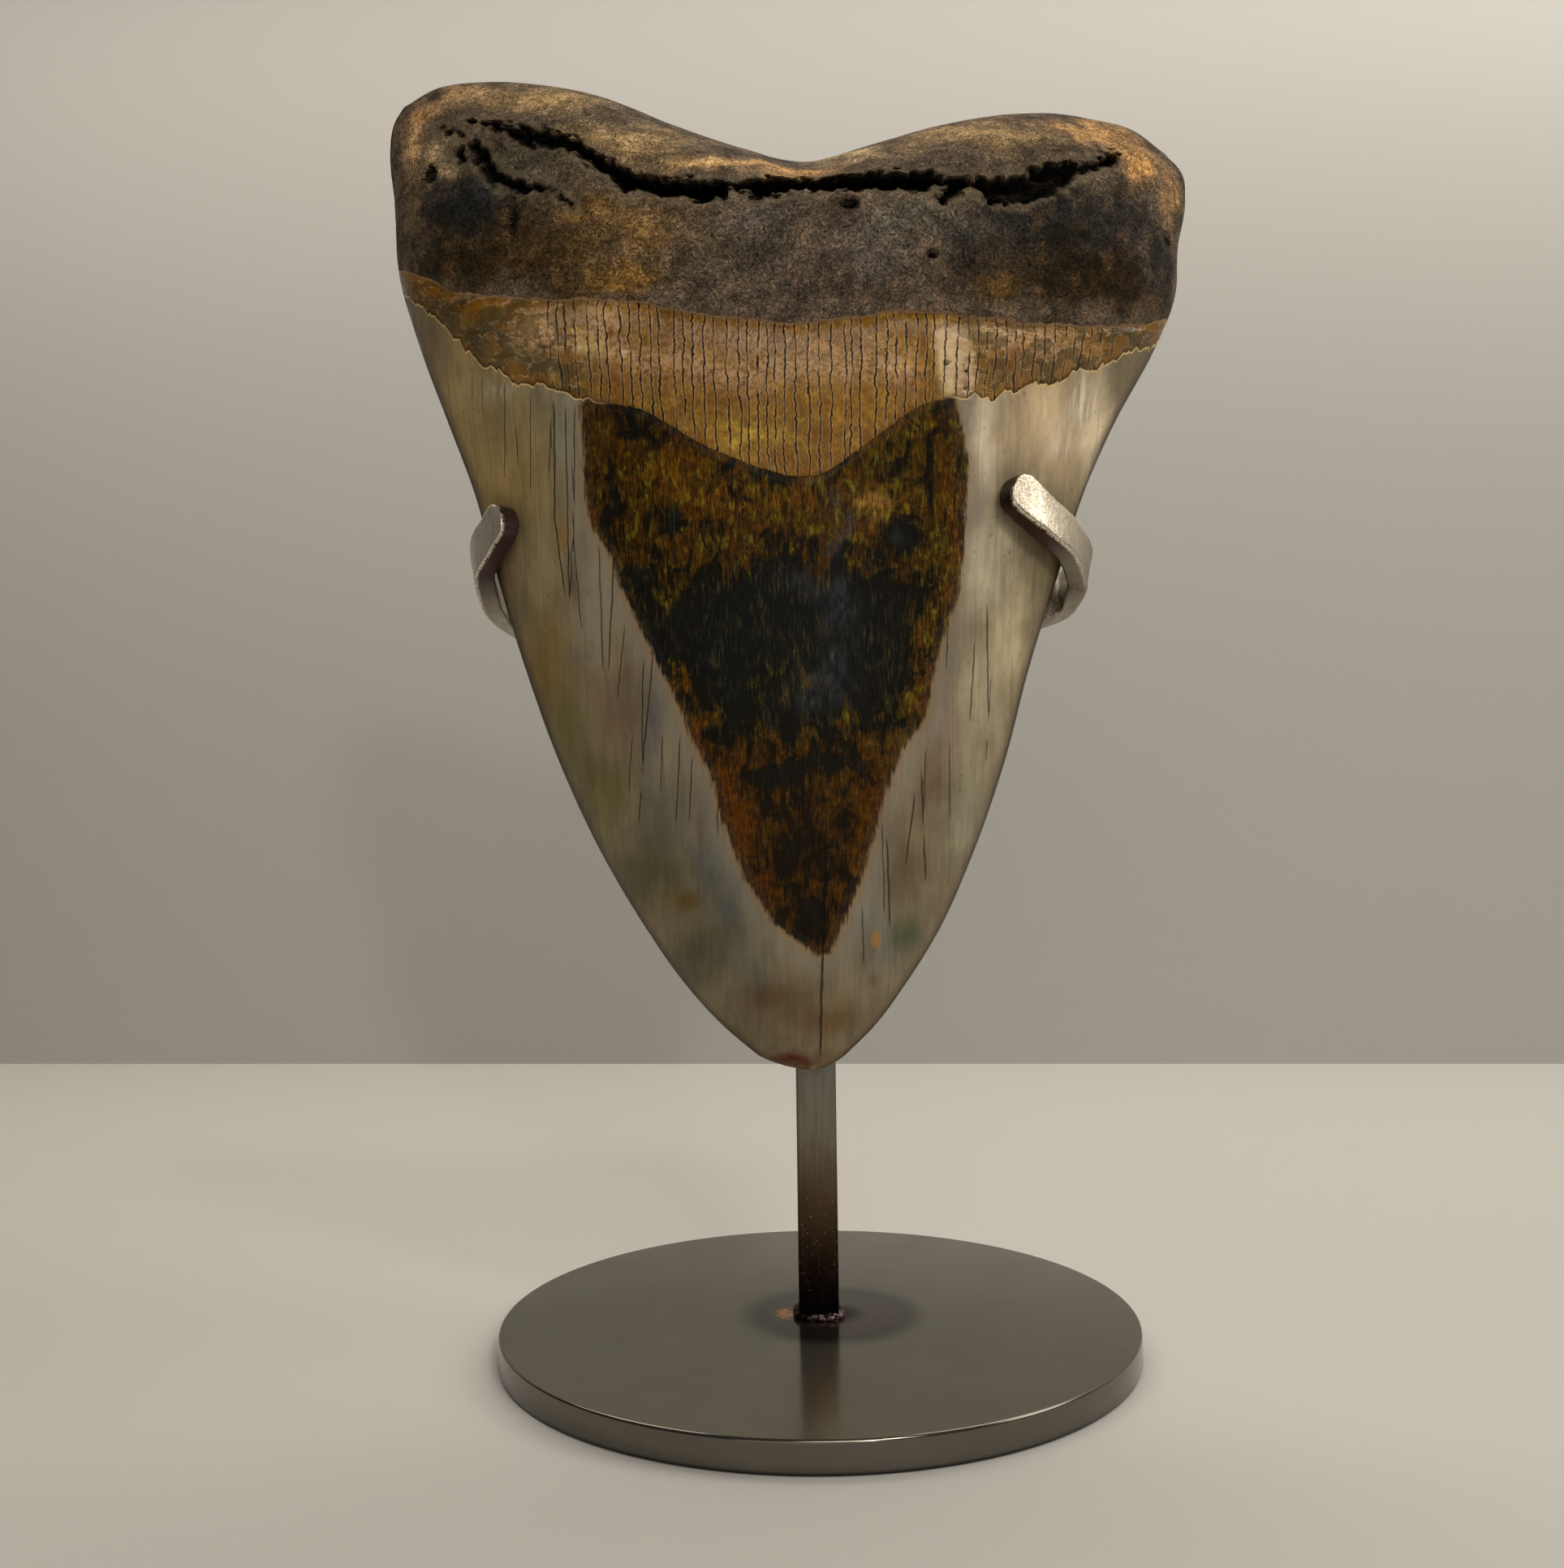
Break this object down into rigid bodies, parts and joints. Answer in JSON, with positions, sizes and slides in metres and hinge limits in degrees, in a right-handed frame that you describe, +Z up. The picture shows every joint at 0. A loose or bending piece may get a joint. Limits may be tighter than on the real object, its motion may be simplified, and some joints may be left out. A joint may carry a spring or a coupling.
{
  "type": "megalodon tooth on stand",
  "caption": "Fossil shark tooth with a cracked, two-lobed root, held tip down by two bent steel claws on a square post and a round base.",
  "frame": {"origin": "middle of the underside of the round base plate", "axes": "+Z up along the post, +X to the right across the tooth, -Y towards the tooth's bulging shown side"},
  "size_m": [0.1222, 0.1016, 0.1983],
  "materials": {
    "fossil": "matt porous brown root; satin cream, brown and blue-black mineralised enamel crown",
    "plate_steel": "dark satin hot-rolled plate, worn bright along its rim",
    "post_steel": "dark oiled bar, heat-browned towards its foot",
    "weld_steel": "rippled weld bead with heat tint",
    "claw_steel": "sanded flat bar with bright ground ends"
  },
  "bodies": {
    "root": {"tooth": "fossil", "base_plate": "plate_steel", "post": "post_steel", "foot_weld": "weld_steel", "arm_weld": "weld_steel", "left_arm": "claw_steel", "right_arm": "claw_steel"}
  },
  "joints": []
}
